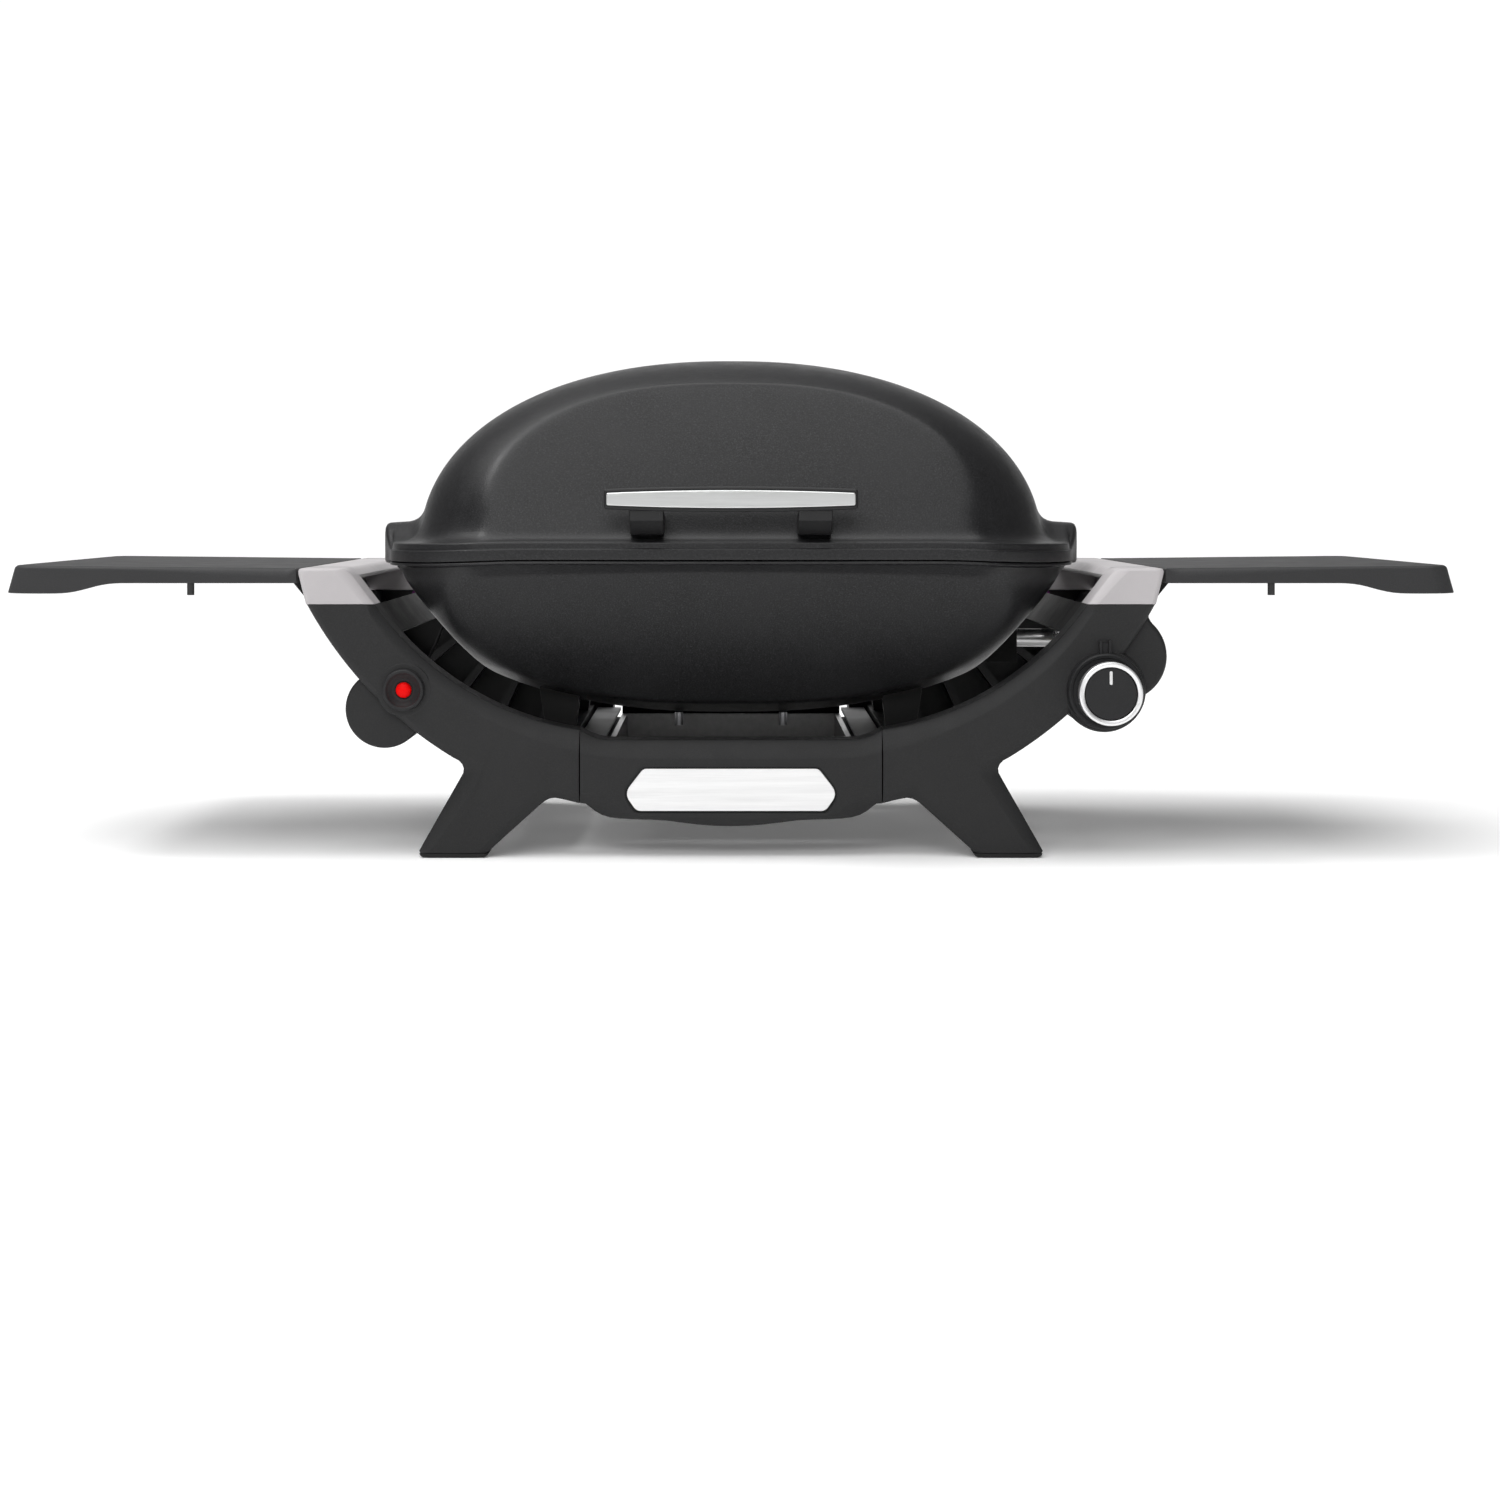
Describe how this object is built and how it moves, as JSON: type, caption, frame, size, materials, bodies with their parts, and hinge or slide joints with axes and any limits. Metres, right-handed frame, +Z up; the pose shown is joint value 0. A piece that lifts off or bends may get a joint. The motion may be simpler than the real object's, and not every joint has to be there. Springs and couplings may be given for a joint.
{
  "type": "gas barbecue grill",
  "caption": "Portable gas grill with a domed cast lid on a rear hinge, a cradle frame, fold-up side tables, a turning gas knob, a push igniter and a slide-out drip pan.",
  "frame": {"origin": "centre of the object's box on the ground plane under the feet", "axes": "+X to the right seen from the front, +Y from the handle to the lid hinge, +Z up"},
  "size_m": [1.302, 0.5, 0.45],
  "materials": {
    "frame_plastic": "moulded grained plastic",
    "badge_aluminium": "brushed",
    "cap_metal": "silver satin paint on plastic",
    "black_plastic": "moulded",
    "rubber": "matt",
    "black_steel": "black enamel",
    "zinc_steel": "zinc plated",
    "clip_plastic": "moulded",
    "cast_body": "fine textured black enamel on cast aluminium",
    "grate_iron": "porcelain enamel",
    "steel_tube": "polished stainless",
    "valve_brass": "machined",
    "ceramic": "glazed ceramic",
    "lead_rubber": "matt insulation",
    "control_plastic": "moulded",
    "red_button": "moulded red",
    "handle_plastic": "glass filled nylon",
    "knob_metal": "satin chrome",
    "handle_aluminium": "brushed",
    "foil": "bright pressed foil",
    "table_plastic": "fine grained plastic",
    "hinge_plastic": "moulded"
  },
  "bodies": {
    "frame": {"left_end_frame": "frame_plastic", "right_end_frame": "frame_plastic", "front_panel": "frame_plastic", "rear_panel": "frame_plastic", "badge_plate": "badge_aluminium", "left_cap": "cap_metal", "right_cap": "cap_metal", "left_side_panel": "black_plastic", "right_side_panel": "black_plastic", "foot_pads": "rubber", "left_support_rail": "black_plastic", "right_support_rail": "black_plastic", "tray_rails": "zinc_steel", "frame_screws": "zinc_steel", "panel_clips": "clip_plastic", "cooking_box": "cast_body", "box_screws": "zinc_steel", "hinge_brackets": "cast_body", "hinge_pins": "zinc_steel", "left_grate": "grate_iron", "right_grate": "grate_iron", "burner": "steel_tube", "burner_post": "steel_tube", "burner_collar": "black_steel", "venturi_tube": "steel_tube", "gas_line": "steel_tube", "gas_valve": "valve_brass", "gas_inlet": "valve_brass", "electrode": "ceramic", "igniter_lead": "lead_rubber", "igniter_module": "black_plastic", "igniter_bezel": "control_plastic", "knob_bezel": "control_plastic", "left_table_pins": "zinc_steel", "right_table_pins": "zinc_steel"},
    "lid": {"lid_shell": "cast_body", "lid_hinge_ears": "cast_body", "handle_brackets": "handle_plastic", "handle_grip": "handle_plastic", "handle_strip": "handle_aluminium", "handle_screws": "zinc_steel"},
    "left_table": {"left_table": "table_plastic", "left_table_arms": "hinge_plastic", "tool_hooks_left": "table_plastic"},
    "right_table": {"right_table": "table_plastic", "right_table_arms": "hinge_plastic", "tool_hooks_right": "table_plastic"},
    "igniter_button": {"igniter_button": "red_button"},
    "valve_collar": {"stem_collar": "zinc_steel"},
    "knob": {"knob_body": "handle_plastic", "knob_ring": "knob_metal", "knob_face": "control_plastic", "valve_stem": "zinc_steel"},
    "drip_pan": {"drip_pan_holder": "black_plastic", "foil_tray": "foil"}
  },
  "joints": [
    {"name": "lid_hinge", "type": "hinge", "parent": "frame", "child": "lid", "pos_m": [0, 0.242, 0.262], "axis": [-1, 0, 0], "range_deg": [0, 98]},
    {"name": "left_table_fold", "type": "hinge", "parent": "frame", "child": "left_table", "pos_m": [-0.374, 0, 0.25], "axis": [0, 1, 0], "range_deg": [0, 115]},
    {"name": "right_table_fold", "type": "hinge", "parent": "frame", "child": "right_table", "pos_m": [0.374, 0, 0.25], "axis": [0, -1, 0], "range_deg": [0, 115]},
    {"name": "igniter_press", "type": "slide", "parent": "frame", "child": "igniter_button", "axis": [0, 1, 0], "range_m": [0, 0.006], "stiffness_N_per_m": 900},
    {"name": "knob_push", "type": "slide", "parent": "frame", "child": "valve_collar", "axis": [0, 1, 0], "range_m": [0, 0.003], "stiffness_N_per_m": 1500},
    {"name": "knob_turn", "type": "hinge", "parent": "valve_collar", "child": "knob", "pos_m": [0.333, -0.217, 0.148], "axis": [0, -1, 0], "range_deg": [0, 170]},
    {"name": "drip_pan_slide", "type": "slide", "parent": "frame", "child": "drip_pan", "axis": [0, 1, 0], "range_m": [0, 0.26]}
  ]
}
